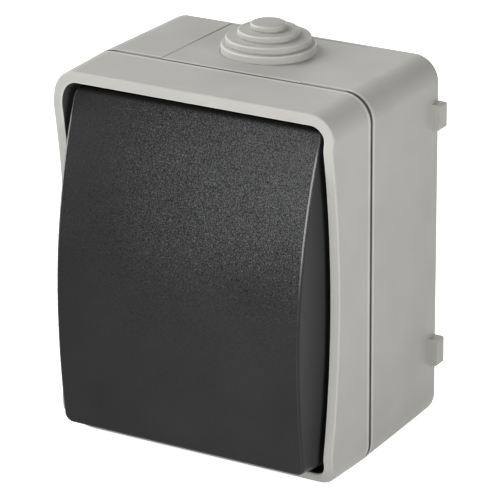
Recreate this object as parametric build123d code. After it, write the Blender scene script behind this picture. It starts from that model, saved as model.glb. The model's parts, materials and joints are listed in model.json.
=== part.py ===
from build123d import *
import math
import os

# Weatherproof surface bell push: a light grey box and front, a dark rocker that closes a push contact.
# Millimetres. X is the visitor's right, Y points into the wall, Z is up.
# The origin is the middle of the face that lies on the wall. A depth is a distance in front of that wall.

# Housing, overall
width = 66.0
height = 80.9
depth = 45.0
parting_depth = 29.85
parting_gap = 0.46
corner_radius = 5.8
least_inner_corner = 0.5
past = 1.0
box_draft = 0.41
front_draft = 0.42
box_wall = 2.4
back_wall = 2.4
back_edge_round = 0.6
panel_half_width = 16.4
panel_sink = 0.12
groove_chamfer = 0.45
groove_depth = 0.7

# Front: the rims around the rocker and the deck below it
side_rim = 2.15
end_rim = 2.4
rim_edge_round = 0.4
rim_facing = 0.7
rim_inner_round = 0.3
well_corner_radius = 3.3
well_draft = 0.12
well_depth = 11.6
deck_thickness = 2.0
skirt_wall = 1.6
scoop_depth = 2.96
rim_step = 0.45
horn_from_end = 7.45
horn_ramp = 2.6
horn_round = 4.0
foot_bevel_depth = 3.6

# Seal between box and front
lip_clearance = 0.15
lip_height = 1.2
gasket_clearance = 0.05

# Rear side lugs: each a distance from its end of the box, and a height
lug_reach = 1.85
lug_thickness = 3.1
lug_round = 0.45
upper_lug_from_end = 9.85
upper_lug_height = 5.4
lower_lug_from_end = 13.15
lower_lug_height = 5.9

# Rocker
rocker_side_gap = 1.28
rocker_end_gap = 0.73
rocker_rear_gap = 4.2
rocker_corner_radius = 3.0
rocker_foot_radius = 2.0
rocker_draft = 0.5
rocker_foot_draft = 1.8
rocker_wall = 2.2
rocker_edge_round = 0.8
rocker_proud = 6.85
crown_height = -9.5
crown_drop_upper = 9.8
crown_drop_lower = 2.3
rocker_rib_thickness = 1.2
rocker_rib_height = 2.6
rocker_rib_offset = 10.0

# Rocker bearing: pins on the rocker's cheeks turn in the ears of the front
pivot_height = 3.1
pin_radius = 1.6
pin_clearance = 0.05
pin_length = 3.3
ear_from_side = 9.8
ear_thickness = 3.0
ear_radius = 3.6
cheek_thickness = 2.0
cheek_half_height = 4.5
cheek_foot_height = 5.5
cheek_gap = 0.7
boss_radius = 2.9

# Push travel and the rib that pushes
lever_arm = 16.0
push_tip_radius = 2.0
push_tip_length = 10.0
push_rest_gap = 0.15
push_tip_lift = 0.4

# Rubber boot over the plunger
boot_opening_radius = 7.5
boot_flange_radius = 9.4
boot_flange_thickness = 0.8
boot_rear_radius = 8.5
boot_wall = 0.8
boot_dome_radius = 4.8
boot_dome_height = 3.35

# Screws that hold the front
frame_screw_from_side = 10.5
frame_screw_from_end = 12.45
frame_screw_radius = 1.4
frame_screw_length = 13.0
frame_head_radius = 2.8
frame_head_height = 1.8
screw_seal_height = 0.8
pillar_radius = 3.4
pillar_web = 1.6
counterbore_radius = 3.6
counterbore_depth = 0.4
screw_clearance = 0.25
seal_bore_clearance = 0.1
screw_fit = 0.04
screw_hole_spare = 1.0
driver_slot_width = 0.8
driver_slot_depth = 0.8
head_bevel_share = 0.33
collar_height = 1.0
collar_wall = 1.1

# Fixing to the wall
slot_from_side = 9.0
slot_z = 17.0
slot_width = 5.0
slot_length = 8.0
slot_pad_height = 1.0
slot_pad_margin = 1.4

# Cable entry
entry_depth = 13.5
entry_radius = 7.0
grommet_neck_clearance = 0.05
grommet_flange_radius = 9.9
grommet_seat_clearance = 0.25
grommet_tiers = ((grommet_flange_radius, 1.85), (8.95, 3.45), (6.4, 4.9), (3.75, 6.25))
grommet_wall = 1.1
grommet_groove = 0.3
grommet_edge_bevel = 0.5
grommet_bead = 1.1
grommet_wall_gap = 0.1

# Mechanism: heights are counted from the plunger's axis
mechanism_half_width = 18.0
mechanism_below = 11.0
mechanism_above = 26.0
mechanism_back = 9.0
mechanism_front = 23.0
mechanism_round = 1.5
mechanism_side_wall = 5.2
chamber_below = 7.5
chamber_above = 10.0
chamber_floor = 11.0
mechanism_ear_reach = 3.0
mechanism_ear_above = 7.0
mechanism_ear_radius = 3.2
mechanism_ear_thickness = 2.5
mechanism_screw_radius = 1.25
post_radius = 3.2
cover_thickness = 2.0
cover_margin = 1.5
cover_above = 12.5
guide_radius = 5.0
guide_height = 3.6
cover_screw_from_side = 2.8
cover_screw_radius = 1.0
cover_screw_length = 9.0
cover_screw_head = 1.2
mechanism_screw_length = 8.1
mechanism_screw_head = 1.6

# Plunger and contacts
plunger_radius = 3.4
plunger_clearance = 0.08
plunger_gap = 0.05
plunger_block_half_width = 5.0
plunger_block_half_height = 3.6
plunger_stop_gap = 0.15
spigot_radius = 1.7
spigot_length = 1.6
plunger_edge_round = 1.0
bridge_depth = 16.0
bridge_thickness = 0.6
bridge_overhang = 2.2
bridge_half_width = 2.5
contact_x = 9.0
rivet_radius = 1.5
rivet_height = 0.7
strip_depth = 12.0
strip_thickness = 0.8
strip_half_width = 2.5
spring_radius = 2.4
spring_wire = 0.5
spring_turns = 3.5
spring_flats = 6
spring_end_gap = 0.01
channel_clearance = 0.3
strip_pad_margin = 0.5

# Terminals
terminal_above = 16.0
terminal_height = 6.6
terminal_half_width = 3.5
terminal_length = 7.2
terminal_clearance = 0.3
wire_hole_radius = 1.6
wire_hole_offset = 3.3
terminal_screw_radius = 1.4
terminal_head_radius = 2.6
terminal_head_height = 1.7
terminal_edge = 0.4
terminal_screw_lift = 0.2

# Places that follow from the sizes above
half_width = width / 2
half_height = height / 2
box_front = parting_depth - parting_gap / 2
front_rear = parting_depth + parting_gap / 2
well_half_width = half_width - front_draft - side_rim
well_half_height = half_height - front_draft - end_rim
deck_depth = depth - well_depth
deck_rear = deck_depth - deck_thickness
lip_inset = skirt_wall + lip_clearance
lip_front = box_front + lip_height
seat_height = half_height - box_draft
horn_height = half_height - horn_from_end
frame_screw_x = half_width - frame_screw_from_side
frame_screw_z = half_height - frame_screw_from_end
slot_x = half_width - slot_from_side
rocker_half_width = well_half_width - rocker_side_gap
rocker_top = well_half_height - rocker_end_gap
rocker_bottom = -rocker_top
rocker_rear_depth = deck_depth + rocker_rear_gap
pivot_depth = deck_depth + pivot_height
ear_inner = half_width - ear_from_side
cheek_foot_depth = pivot_depth + cheek_foot_height
apex_depth = depth + rocker_proud
plunger_z = -lever_arm
mechanism_bottom = plunger_z - mechanism_below
mechanism_top = plunger_z + mechanism_above
mechanism_ear_x = mechanism_half_width + mechanism_ear_reach
mechanism_ear_z = plunger_z + mechanism_ear_above
chamber_half_width = mechanism_half_width - mechanism_side_wall
chamber_bottom = plunger_z - chamber_below
chamber_top = plunger_z + chamber_above
cover_top = plunger_z + cover_above
cover_screw_x = mechanism_half_width - cover_screw_from_side
bridge_half_length = contact_x + bridge_overhang
terminal_bottom = plunger_z + terminal_above
push_tip_depth = pivot_depth + push_tip_lift + push_tip_radius
boot_top_depth = push_tip_depth - push_tip_radius - push_rest_gap
screw_seat = deck_depth - counterbore_depth + screw_seal_height
plunger_front = boot_top_depth - boot_wall - plunger_gap
terminal_depth = strip_depth + strip_thickness
strip_front = terminal_depth


def at_depth(distance, x=0.0, z=0.0):
    """A drawing plane parallel to the wall, facing the visitor."""
    return Plane(origin=(x, -distance, z), x_dir=(1, 0, 0), z_dir=(0, -1, 0))


def from_side():
    """A drawing plane through the middle, seen from the side: depth across, height up."""
    return Plane(origin=(0, 0, 0), x_dir=(0, -1, 0), z_dir=(-1, 0, 0))


def plate(outline, depth_from, depth_to, x=0.0, z=0.0):
    """An outline parallel to the wall, given thickness between two depths."""
    return extrude(at_depth(depth_from, x, z) * outline, amount=depth_to - depth_from)


def cylinder(radius, depth_from, depth_to, x=0.0, z=0.0):
    """A round bar or hole that stands square to the wall."""
    return plate(Circle(radius), depth_from, depth_to, x, z)


def drafted_block(sizes, rear, front):
    """A block with rounded corners that changes size evenly from its rear to its front."""
    block_width, block_height, radius = sizes
    sections = []
    for distance, inset in (rear, front):
        corner = max(radius - inset, least_inner_corner)
        outline = RectangleRounded(block_width - 2 * inset, block_height - 2 * inset, corner)
        sections.append(at_depth(distance) * outline)
    return loft(sections, ruled=True)


def ring_band(outer_inset, inner_inset, depth_from, depth_to):
    """A band that follows the housing's outline between two insets."""
    outer = RectangleRounded(width - 2 * outer_inset, height - 2 * outer_inset, corner_radius - outer_inset)
    inner = RectangleRounded(width - 2 * inner_inset, height - 2 * inner_inset, corner_radius - inner_inset)
    return plate(outer - inner, depth_from, depth_to)


def mirrored_pair(solid):
    """A piece on the right and its mirror image on the left."""
    return [solid, mirror(solid, about=Plane.YZ)]


def border(faces):
    """The edges that only one of the faces has: the outline of the group."""
    edges = [edge for face in faces for edge in face.edges()]
    return [edge for edge in edges if sum(edge.is_same(other) for other in edges) == 1]


def screws(places, radii, seat, length, head):
    """Screws with a bevelled head and a driver slot, one at each place."""
    shank_radius, head_radius = radii
    top = seat + head
    solids = []
    for x, z in places:
        body = cylinder(shank_radius, seat - length, seat, x, z) + cylinder(head_radius, seat, top, x, z)
        body = chamfer(body.edges().group_by(Axis.Y)[0], head * head_bevel_share)
        body -= plate(Rectangle(2 * head_radius, driver_slot_width), top - driver_slot_depth, top, x, z)
        solids.append(body)
    return Compound(children=solids)


def frame_screw_places():
    """The four pillars that take the front's screws."""
    return [(x, z) for x in (-frame_screw_x, frame_screw_x) for z in (-frame_screw_z, frame_screw_z)]


def slot_places():
    """The four oblong holes for wall screws."""
    return [(x, z) for x in (-slot_x, slot_x) for z in (-slot_z, slot_z)]


def box_pillars():
    """Screw pillars for the front, each tied to the side wall by a web."""
    pillars = []
    for x, z in frame_screw_places():
        pillars.append(cylinder(pillar_radius, 0, deck_rear, x, z))
        reach = half_width - box_draft - box_wall / 2 - frame_screw_x
        middle = math.copysign(frame_screw_x + reach / 2, x)
        pillars.append(plate(Rectangle(reach, pillar_web), 0, box_front - lip_inset, middle, z))
    return pillars


def box_posts():
    """Posts that carry the mechanism."""
    return [
        cylinder(post_radius, 0, mechanism_back, x, mechanism_ear_z)
        for x in (-mechanism_ear_x, mechanism_ear_x)
    ]


def box_lugs():
    """Small blocks on both sides at the wall, for joining boxes in a row."""
    upper = half_height - upper_lug_from_end - upper_lug_height / 2
    lower = lower_lug_from_end + lower_lug_height / 2 - half_height
    lugs = []
    for middle, high in ((upper, upper_lug_height), (lower, lower_lug_height)):
        reach = half_width + lug_reach - box_draft
        lug = plate(Rectangle(2 * reach, high), 0, lug_thickness, 0, middle)
        upright = lug.edges().filter_by(Axis.Y)
        lugs.append(fillet(upright, lug_round))
    return lugs


def make_base_box():
    """The back box: a drafted shell with a seal lip, pillars, posts, lugs and its holes."""
    outer_size = (width, height, corner_radius)
    inner_size = (width - 2 * box_wall, height - 2 * box_wall, corner_radius - box_wall)
    outer = drafted_block(outer_size, (0, box_draft), (box_front, 0)) - top_panel() - groove_chamfers()
    outer = fillet(outer.faces().sort_by(Axis.Y)[-1].edges(), back_edge_round)
    box = outer + ring_band(lip_inset, box_wall, box_front - lip_inset, lip_front)
    for lug in box_lugs():
        box += lug
    box -= drafted_block(inner_size, (back_wall, box_draft), (lip_front + past, 0))
    for x, z in slot_places():
        pad = SlotOverall(slot_length + 2 * slot_pad_margin, slot_width + 2 * slot_pad_margin)
        box += plate(pad, 0, back_wall + slot_pad_height, x, z)
    for solid in box_pillars() + box_posts():
        box += solid
    for x, z in slot_places():
        box -= plate(SlotOverall(slot_length, slot_width), -past, back_wall + slot_pad_height, x, z)
    for x, z in frame_screw_places():
        bottom = screw_seat - frame_screw_length - screw_hole_spare
        box -= cylinder(frame_screw_radius + screw_fit, bottom, deck_rear, x, z)
    for x in (-mechanism_ear_x, mechanism_ear_x):
        box -= cylinder(mechanism_screw_radius + screw_fit, back_wall, mechanism_back, x, mechanism_ear_z)
    box -= entry_hole()
    return box


def top_panel():
    """A very shallow flat strip along the middle of the top wall."""
    size = (width, height, corner_radius)
    skin = drafted_block(size, (0, box_draft), (box_front, 0))
    skin -= drafted_block(size, (0, box_draft + panel_sink), (box_front, panel_sink))
    strip = Rectangle(2 * panel_half_width, corner_radius)
    return skin & plate(strip, 2 * back_edge_round, box_front, 0, half_height)


def groove_chamfers():
    """The bevel that widens the parting groove on top, left and right of the flat strip."""
    corner = Plane(origin=(panel_half_width, -box_front, half_height), x_dir=(0, 1, 0), z_dir=(1, 0, 0))
    wedge = Polyline((0, 0), (groove_chamfer, 0), (0, -groove_chamfer), close=True)
    bevel = extrude(corner * make_face(wedge), amount=half_width - corner_radius - panel_half_width)
    return Compound(children=mirrored_pair(bevel))


def entry_hole():
    """The round cable hole in the top wall, with the flat seat of the grommet around it."""
    base = Plane(origin=(0, -entry_depth, seat_height), z_dir=(0, 0, 1))
    seat = extrude(base * Circle(grommet_flange_radius + grommet_seat_clearance), amount=past)
    hole = extrude(base * Circle(entry_radius), amount=-2 * box_wall)
    return seat + hole


def rim_sweep():
    """The front's side view drawn across it: two soft horns, the scoop between, the bevelled foot."""
    horn_depth = depth + rim_step / 4
    flat_depth = depth - rim_step
    ramp_end = horn_height + horn_ramp
    end = half_height + past
    bevel_slope = foot_bevel_depth / (half_height - ramp_end)
    foot_depth = flat_depth - bevel_slope * (end - ramp_end)
    low_horn = (horn_depth, -horn_height)
    high_horn = (horn_depth, horn_height)
    edges = [
        Polyline((front_rear, -end), (foot_depth, -end), (flat_depth, -ramp_end), low_horn),
        ThreePointArc(low_horn, (horn_depth - scoop_depth, 0), high_horn),
        Polyline(high_horn, (flat_depth, ramp_end), (flat_depth, end), (front_rear, end), (front_rear, -end)),
    ]
    body = extrude(from_side() * make_face(edges), amount=half_width, both=True)
    across = body.edges().filter_by(Axis.X)
    soft = [e for e in across if -e.center().Y > deck_depth and abs(e.center().Z) < half_height]
    return fillet(soft, horn_round)


def make_front_frame():
    """The front: drafted walls, waved side rims, the well, the deck, bearing ears and collars."""
    outer_size = (width, height, corner_radius)
    front = drafted_block(outer_size, (front_rear, 0), (depth + rim_step, front_draft))
    front &= rim_sweep()
    rim = [f for f in front.faces() if f.center().Y < -deck_depth and f.normal_at().Y < -rim_facing]
    front = fillet(border(rim), rim_edge_round)
    well_size = (2 * well_half_width, 2 * well_half_height, well_corner_radius)
    well = drafted_block(well_size, (deck_depth, well_draft), (depth + past, 0))
    front -= well
    rim = [f for f in front.faces() if f.center().Y < -deck_depth and f.normal_at().Y < -rim_facing]
    inner = [e for e in border(rim) if inside_well(e.center())]
    front = fillet(inner, rim_inner_round)
    rear_size = (width - 2 * skirt_wall, height - 2 * skirt_wall, corner_radius - skirt_wall)
    front -= plate(RectangleRounded(*rear_size), front_rear - past, deck_rear)
    for ear in bearing_ears():
        front += ear
    for x, z in frame_screw_places():
        front += cylinder(counterbore_radius + collar_wall, deck_rear, deck_depth + collar_height, x, z)
    for x, z in frame_screw_places():
        front -= cylinder(counterbore_radius, deck_depth - counterbore_depth, depth, x, z)
        front -= cylinder(frame_screw_radius + screw_clearance, deck_rear, depth, x, z)
    front -= cylinder(boot_opening_radius, deck_rear - past, depth, 0, plunger_z)
    return front


def inside_well(point):
    """Whether a point on the rim is at its inner edge, nearer to the rocker than the rim's middle."""
    across = half_width - front_draft - side_rim / 2
    up = half_height - front_draft - end_rim / 2
    return abs(point.X) < across and abs(point.Z) < up


def bearing_ears():
    """Two upright ears on the deck with the bores that the rocker's pins turn in."""
    middle = ear_inner + ear_thickness / 2
    root = plate(Rectangle(ear_thickness, 2 * ear_radius), deck_rear, pivot_depth, middle)
    disc = Plane(origin=(ear_inner, -pivot_depth, 0), z_dir=(1, 0, 0))
    ear = root + extrude(disc * Circle(ear_radius), amount=ear_thickness)
    ear -= extrude(disc * Circle(pin_radius + pin_clearance), amount=ear_thickness)
    return mirrored_pair(ear)


def crown_radius(z):
    """Radius of the crown's arc above or below its highest point, from how far that arc falls back."""
    if z > crown_height:
        run, drop = rocker_top - crown_height, crown_drop_upper
    else:
        run, drop = crown_height - rocker_bottom, crown_drop_lower
    return (run ** 2 + drop ** 2) / (2 * drop)


def crown_depth(z, inset):
    """Depth of the rocker's crown at a height, for its outside or for a surface inside it."""
    radius = crown_radius(z)
    drop = radius - inset - math.sqrt((radius - inset) ** 2 - (z - crown_height) ** 2)
    return apex_depth - inset - drop


def crown_profile(inset):
    """Side view of the rocker: two arcs that meet at the crown's highest point."""
    reach = half_height
    apex = (crown_depth(crown_height, inset), crown_height)
    ends = []
    for end in (reach, -reach):
        middle = (end + crown_height) / 2
        ends.append(((crown_depth(end, inset), end), (crown_depth(middle, inset), middle)))
    (top, upper), (bottom, lower) = ends
    rear = deck_rear
    edges = [
        ThreePointArc(top, upper, apex),
        ThreePointArc(apex, lower, bottom),
        Polyline(bottom, (rear, -reach), (rear, reach), top),
    ]
    return make_face(edges)


def crown_sweep(inset):
    """All that lies behind the crown, right across the rocker."""
    return extrude(from_side() * crown_profile(inset), amount=half_width, both=True)


def rocker_outline(distance, inset):
    """The rocker's outline at a depth: it narrows towards the visitor, most of all at its foot."""
    share = (distance - rocker_rear_depth) / (apex_depth - rocker_rear_depth)
    side = rocker_half_width - rocker_draft * share - inset
    top = rocker_top - rocker_draft * share - inset
    bottom = rocker_bottom + rocker_foot_draft * share + inset
    outline = Rectangle(2 * side, top - bottom)
    upper_corners = outline.vertices().group_by(Axis.Y)[-1]
    outline = fillet(upper_corners, max(rocker_corner_radius - inset, least_inner_corner))
    lower_corners = outline.vertices().group_by(Axis.Y)[0]
    outline = fillet(lower_corners, max(rocker_foot_radius - inset, least_inner_corner))
    return at_depth(distance, 0, (top + bottom) / 2) * outline


def rocker_form(inset, rear):
    """The rocker's outside, or the same form inside it at an inset, from a rear depth to its crown."""
    block = loft([rocker_outline(rear, inset), rocker_outline(apex_depth + past, inset)], ruled=True)
    return block & crown_sweep(inset)


def rocker_cheeks():
    """Inner cheeks with round bosses, and the pins that point outwards from them."""
    inner = ear_inner - cheek_gap - cheek_thickness
    face = Plane(origin=(inner, -pivot_depth, 0), z_dir=(1, 0, 0))
    middle = inner + cheek_thickness / 2
    web = plate(Rectangle(cheek_thickness, 2 * boss_radius), pivot_depth, depth, middle)
    foot = plate(Rectangle(cheek_thickness, 2 * cheek_half_height), cheek_foot_depth, apex_depth, middle)
    boss = extrude(face * Circle(boss_radius), amount=cheek_thickness)
    pin = extrude(face * Circle(pin_radius), amount=cheek_thickness + pin_length)
    return mirrored_pair((web + foot + boss) & rocker_form(rocker_wall / 2, deck_rear)), mirrored_pair(pin)


def push_rib():
    """The rib with a round tip that rests over the plunger."""
    face = Plane(origin=(0, -push_tip_depth, plunger_z), z_dir=(1, 0, 0))
    tip = extrude(face * Circle(push_tip_radius), amount=push_tip_length / 2, both=True)
    web = plate(Rectangle(push_tip_length, 2 * push_tip_radius), push_tip_depth, apex_depth, 0, plunger_z)
    return (tip + web) & rocker_form(rocker_wall / 2, deck_rear)


def stiffening_ribs():
    """Two long ribs under the crown."""
    rib = plate(Rectangle(rocker_rib_thickness, height), deck_rear, apex_depth, rocker_rib_offset)
    rib &= rocker_form(rocker_wall / 2, rocker_rear_depth)
    rib -= crown_sweep(rocker_wall + rocker_rib_height)
    return mirrored_pair(rib)


def make_rocker():
    """The rocker: a curved shell with skirts, cheeks, pins, ribs and the pushing rib."""
    shell = rocker_form(0, rocker_rear_depth)
    crown = [f for f in shell.faces() if f.geom_type == GeomType.CYLINDER and f.radius > half_height]
    shell = fillet(border(crown), rocker_edge_round)
    shell -= rocker_form(rocker_wall, deck_rear)
    cheeks, pins = rocker_cheeks()
    for solid in cheeks + stiffening_ribs() + [push_rib()] + pins:
        shell += solid
    return shell


def make_grommet():
    """The stepped membrane gland: one turned form, closed on top and hollow below."""
    bead_radius = entry_radius + grommet_bead
    neck = entry_radius - grommet_neck_clearance
    below = -box_wall - grommet_wall_gap
    outer = [(0, grommet_tiers[-1][1])]
    level = grommet_tiers[-1][1]
    for index in range(len(grommet_tiers) - 1, -1, -1):
        radius = grommet_tiers[index][0]
        root = grommet_tiers[index - 1][1] if index else 0
        outer.append((radius, level))
        if index:
            outer += [(radius, root + grommet_groove), (radius - grommet_groove, root)]
        else:
            outer.append((radius, 0))
        level = root
    outer += [(neck, 0), (neck, below), (bead_radius, below), (neck, below - 2 * grommet_bead)]
    inner = [(neck - grommet_wall, below - 2 * grommet_bead)]
    level = grommet_tiers[0][1] - grommet_wall
    inner += [(neck - grommet_wall, level)]
    for index in range(2, len(grommet_tiers)):
        radius = grommet_tiers[index][0] - grommet_wall
        inner.append((radius, level))
        level = grommet_tiers[index][1] - grommet_wall
        inner.append((radius, level))
    inner.append((0, level))
    section = make_face(Polyline(*outer, *inner, close=True))
    profile = Plane(origin=(0, -entry_depth, seat_height), x_dir=(1, 0, 0), z_dir=(0, -1, 0)) * section
    body = revolve(profile, axis=Axis((0, -entry_depth, 0), (0, 0, 1)))
    rims = []
    for edge in body.edges().filter_by(GeomType.CIRCLE):
        for radius, height_above in grommet_tiers:
            level = seat_height + height_above
            if math.isclose(edge.radius, radius) and math.isclose(edge.center().Z, level):
                rims.append(edge)
    return chamfer(rims, grommet_edge_bevel)


def make_gasket():
    """The rubber ring between the box and the front, around the lip: the dark bottom of the groove."""
    return ring_band(groove_depth, lip_inset - gasket_clearance, box_front, front_rear)


def make_frame_screws():
    """Four screws through the deck into the pillars."""
    radii = (frame_screw_radius, frame_head_radius)
    return screws(frame_screw_places(), radii, screw_seat, frame_screw_length, frame_head_height)


def make_screw_seals():
    """Four rubber washers under the screw heads."""
    washer = Circle(frame_head_radius) - Circle(frame_screw_radius + seal_bore_clearance)
    seals = [plate(washer, screw_seat - screw_seal_height, screw_seat, x, z) for x, z in frame_screw_places()]
    return Compound(children=seals)


def make_boot():
    """The rubber boot: a clip-in foot around the deck opening and a thin hat over the plunger."""
    rear = deck_rear - boot_flange_thickness
    flange = deck_depth + boot_flange_thickness
    root = boot_top_depth - boot_dome_height + boot_wall
    outer = [
        (boot_dome_radius - boot_wall, rear),
        (boot_rear_radius, rear),
        (boot_rear_radius, deck_rear),
        (boot_opening_radius, deck_rear),
        (boot_opening_radius, deck_depth),
        (boot_flange_radius, deck_depth),
        (boot_flange_radius, flange),
        (boot_dome_radius + boot_wall, flange),
        (boot_dome_radius, root),
        (boot_dome_radius, boot_top_depth),
        (0, boot_top_depth),
        (0, boot_top_depth - boot_wall),
        (boot_dome_radius - boot_wall, boot_top_depth - boot_wall),
    ]
    section = make_face(Polyline(*outer, close=True))
    turned = Plane(origin=(0, 0, plunger_z), x_dir=(1, 0, 0), z_dir=(0, 0, 1)) * Rot(180, 0, 0) * section
    return revolve(turned, axis=Axis((0, 0, plunger_z), (0, 1, 0)))


def terminal_places():
    """Middle of each terminal across the mechanism: two switched ones and a loop one between them."""
    return {"terminal_left": -contact_x, "terminal_loop": 0.0, "terminal_right": contact_x}


def terminal_middle():
    """Height of the terminals' middle."""
    return terminal_bottom + terminal_height / 2


def make_mechanism_body():
    """The carrier: a moulded tray with a contact chamber, terminal wells, wire holes and ears."""
    middle = (mechanism_bottom + mechanism_top) / 2
    outline = RectangleRounded(2 * mechanism_half_width, mechanism_top - mechanism_bottom, mechanism_round)
    body = plate(outline, mechanism_back, mechanism_front, 0, middle)
    for side in (-1, 1):
        reach = mechanism_ear_x - mechanism_half_width + mechanism_ear_radius
        ear = SlotOverall(2 * reach, 2 * mechanism_ear_radius)
        front = mechanism_back + mechanism_ear_thickness
        body += plate(ear, mechanism_back, front, side * mechanism_half_width, mechanism_ear_z)
    chamber = Rectangle(2 * chamber_half_width, chamber_top - chamber_bottom)
    chamber_middle = (chamber_top + chamber_bottom) / 2
    body -= plate(chamber, chamber_floor, mechanism_front, 0, chamber_middle)
    for side in (-1, 1):
        pad = Rectangle(2 * (strip_half_width + strip_pad_margin), chamber_top - chamber_bottom)
        body += plate(pad, mechanism_back, strip_depth, side * contact_x, chamber_middle)
    well_width = 2 * (terminal_half_width + terminal_clearance)
    well_size = Rectangle(well_width, terminal_height + 2 * terminal_clearance)
    for name, x in terminal_places().items():
        floor = terminal_depth if name == "terminal_loop" else strip_depth
        body -= plate(well_size, floor, mechanism_front, x, terminal_middle())
        if name != "terminal_loop":
            channel = Rectangle(2 * strip_half_width + channel_clearance, terminal_middle() - chamber_top)
            body -= plate(channel, strip_depth, mechanism_front, x, (terminal_middle() + chamber_top) / 2)
        body -= wire_hole(x, mechanism_top - terminal_middle())
    for x in (-cover_screw_x, cover_screw_x):
        bottom = mechanism_front + cover_thickness - cover_screw_length - screw_hole_spare
        body -= cylinder(cover_screw_radius + screw_fit, bottom, mechanism_front, x, plunger_z)
    for x in (-mechanism_ear_x, mechanism_ear_x):
        body -= cylinder(mechanism_screw_radius + screw_clearance, 0, mechanism_front, x, mechanism_ear_z)
    return body


def wire_hole(x, length):
    """The round way for a wire, upwards from the terminal's middle."""
    start = Plane(origin=(x, -(terminal_depth + wire_hole_offset), terminal_middle()), z_dir=(0, 0, 1))
    return extrude(start * Circle(wire_hole_radius), amount=length)


def make_terminal(x):
    """A brass block with a cross hole for the wire and a screw hole from the front."""
    outline = Rectangle(2 * terminal_half_width, terminal_height)
    block = plate(outline, terminal_depth, terminal_depth + terminal_length, x, terminal_middle())
    block = chamfer(block.edges().filter_by(Axis.Y), terminal_edge)
    block -= wire_hole(x, terminal_height) + wire_hole(x, -terminal_height)
    front = terminal_depth + terminal_length
    screw_hole = terminal_screw_radius + screw_fit
    return block - cylinder(screw_hole, terminal_depth + wire_hole_offset, front, x, terminal_middle())


def make_terminal_screws():
    """Three clamping screws, their heads a little off the blocks, as when they are loosened."""
    seat = terminal_depth + terminal_length + terminal_screw_lift
    length = seat - terminal_depth - wire_hole_offset - wire_hole_radius
    places = [(x, terminal_middle()) for x in terminal_places().values()]
    return screws(places, (terminal_screw_radius, terminal_head_radius), seat, length, terminal_head_height)


def make_fixed_contact(side):
    """A brass strip along the chamber floor, from under its rivet to under its terminal."""
    low = plunger_z - strip_half_width
    high = terminal_bottom + terminal_height
    outline = RectangleRounded(2 * strip_half_width, high - low, strip_half_width / 3)
    return plate(outline, strip_depth, strip_front, side * contact_x, (low + high) / 2)


def rivets(rear):
    """Two round contacts, left and right of the plunger."""
    front = rear + rivet_height
    solids = [cylinder(rivet_radius, rear, front, x, plunger_z) for x in (-contact_x, contact_x)]
    return Compound(children=solids)


def make_bridge():
    """The brass strip that joins the two fixed contacts when it is pushed in."""
    hole = Circle(spigot_radius + pin_clearance)
    outline = SlotOverall(2 * bridge_half_length, 2 * bridge_half_width) - hole
    return plate(outline, bridge_depth, bridge_depth + bridge_thickness, 0, plunger_z)


def make_plunger():
    """The plunger: a round stem in the cover's guide, a square stop below it and a spigot."""
    block_rear = bridge_depth + bridge_thickness
    block_front = mechanism_front - plunger_stop_gap
    block = Rectangle(2 * plunger_block_half_width, 2 * plunger_block_half_height)
    body = plate(block, block_rear, block_front, 0, plunger_z)
    body += cylinder(plunger_radius, block_front, plunger_front, 0, plunger_z)
    body = fillet(body.edges().group_by(Axis.Y)[0], plunger_edge_round)
    return body + cylinder(spigot_radius, block_rear - spigot_length, block_rear, 0, plunger_z)


def make_spring():
    """The coil spring between the chamber floor and the bridge."""
    low = chamber_floor + spring_wire / 2
    high = bridge_depth - spring_wire / 2
    pitch = (high - low) / spring_turns
    path = Helix(pitch, high - low, spring_radius, center=(0, -low, plunger_z), direction=(0, -1, 0))
    start = Plane(origin=path @ 0, z_dir=path % 0)
    section = RegularPolygon(spring_wire / 2 - spring_end_gap, spring_flats)
    return sweep(start * section, path=path, is_frenet=True)


def make_mechanism_cover():
    """The cover of the contact chamber, with the round guide of the plunger."""
    low = mechanism_bottom + cover_margin
    outline = RectangleRounded(2 * (mechanism_half_width - cover_margin), cover_top - low, mechanism_round)
    front = mechanism_front + cover_thickness
    cover = plate(outline, mechanism_front, front, 0, (cover_top + low) / 2)
    cover += cylinder(guide_radius, mechanism_front, front + guide_height, 0, plunger_z)
    cover -= cylinder(plunger_radius + plunger_clearance, mechanism_front, front + guide_height, 0, plunger_z)
    for x in (-cover_screw_x, cover_screw_x):
        cover -= cylinder(cover_screw_radius + screw_clearance, mechanism_front, front, x, plunger_z)
    return cover


def make_cover_screws():
    """Two small screws beside the plunger."""
    seat = mechanism_front + cover_thickness
    places = [(-cover_screw_x, plunger_z), (cover_screw_x, plunger_z)]
    radii = (cover_screw_radius, 2 * cover_screw_radius)
    return screws(places, radii, seat, cover_screw_length, cover_screw_head)


def make_mechanism_screws():
    """Two screws through the carrier's ears into the posts."""
    seat = mechanism_back + mechanism_ear_thickness
    places = [(-mechanism_ear_x, mechanism_ear_z), (mechanism_ear_x, mechanism_ear_z)]
    radii = (mechanism_screw_radius, 2 * mechanism_screw_radius)
    return screws(places, radii, seat, mechanism_screw_length, mechanism_screw_head)


def all_pieces():
    """Every piece of the bell push under its own name."""
    pieces = {
        "base_box": make_base_box(),
        "front_frame": make_front_frame(),
        "rocker": make_rocker(),
        "cable_grommet": make_grommet(),
        "frame_gasket": make_gasket(),
        "frame_screws": make_frame_screws(),
        "frame_screw_seals": make_screw_seals(),
        "plunger_boot": make_boot(),
        "plunger": make_plunger(),
        "plunger_spring": make_spring(),
        "mechanism_body": make_mechanism_body(),
        "mechanism_cover": make_mechanism_cover(),
        "mechanism_cover_screws": make_cover_screws(),
        "mechanism_screws": make_mechanism_screws(),
        "contact_bridge": make_bridge(),
        "moving_rivets": rivets(bridge_depth - rivet_height),
        "fixed_contact_left": make_fixed_contact(-1),
        "fixed_contact_right": make_fixed_contact(1),
        "fixed_rivets": rivets(strip_front),
        "terminal_screws": make_terminal_screws(),
    }
    for name, x in terminal_places().items():
        pieces[name] = make_terminal(x)
    return pieces


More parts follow.
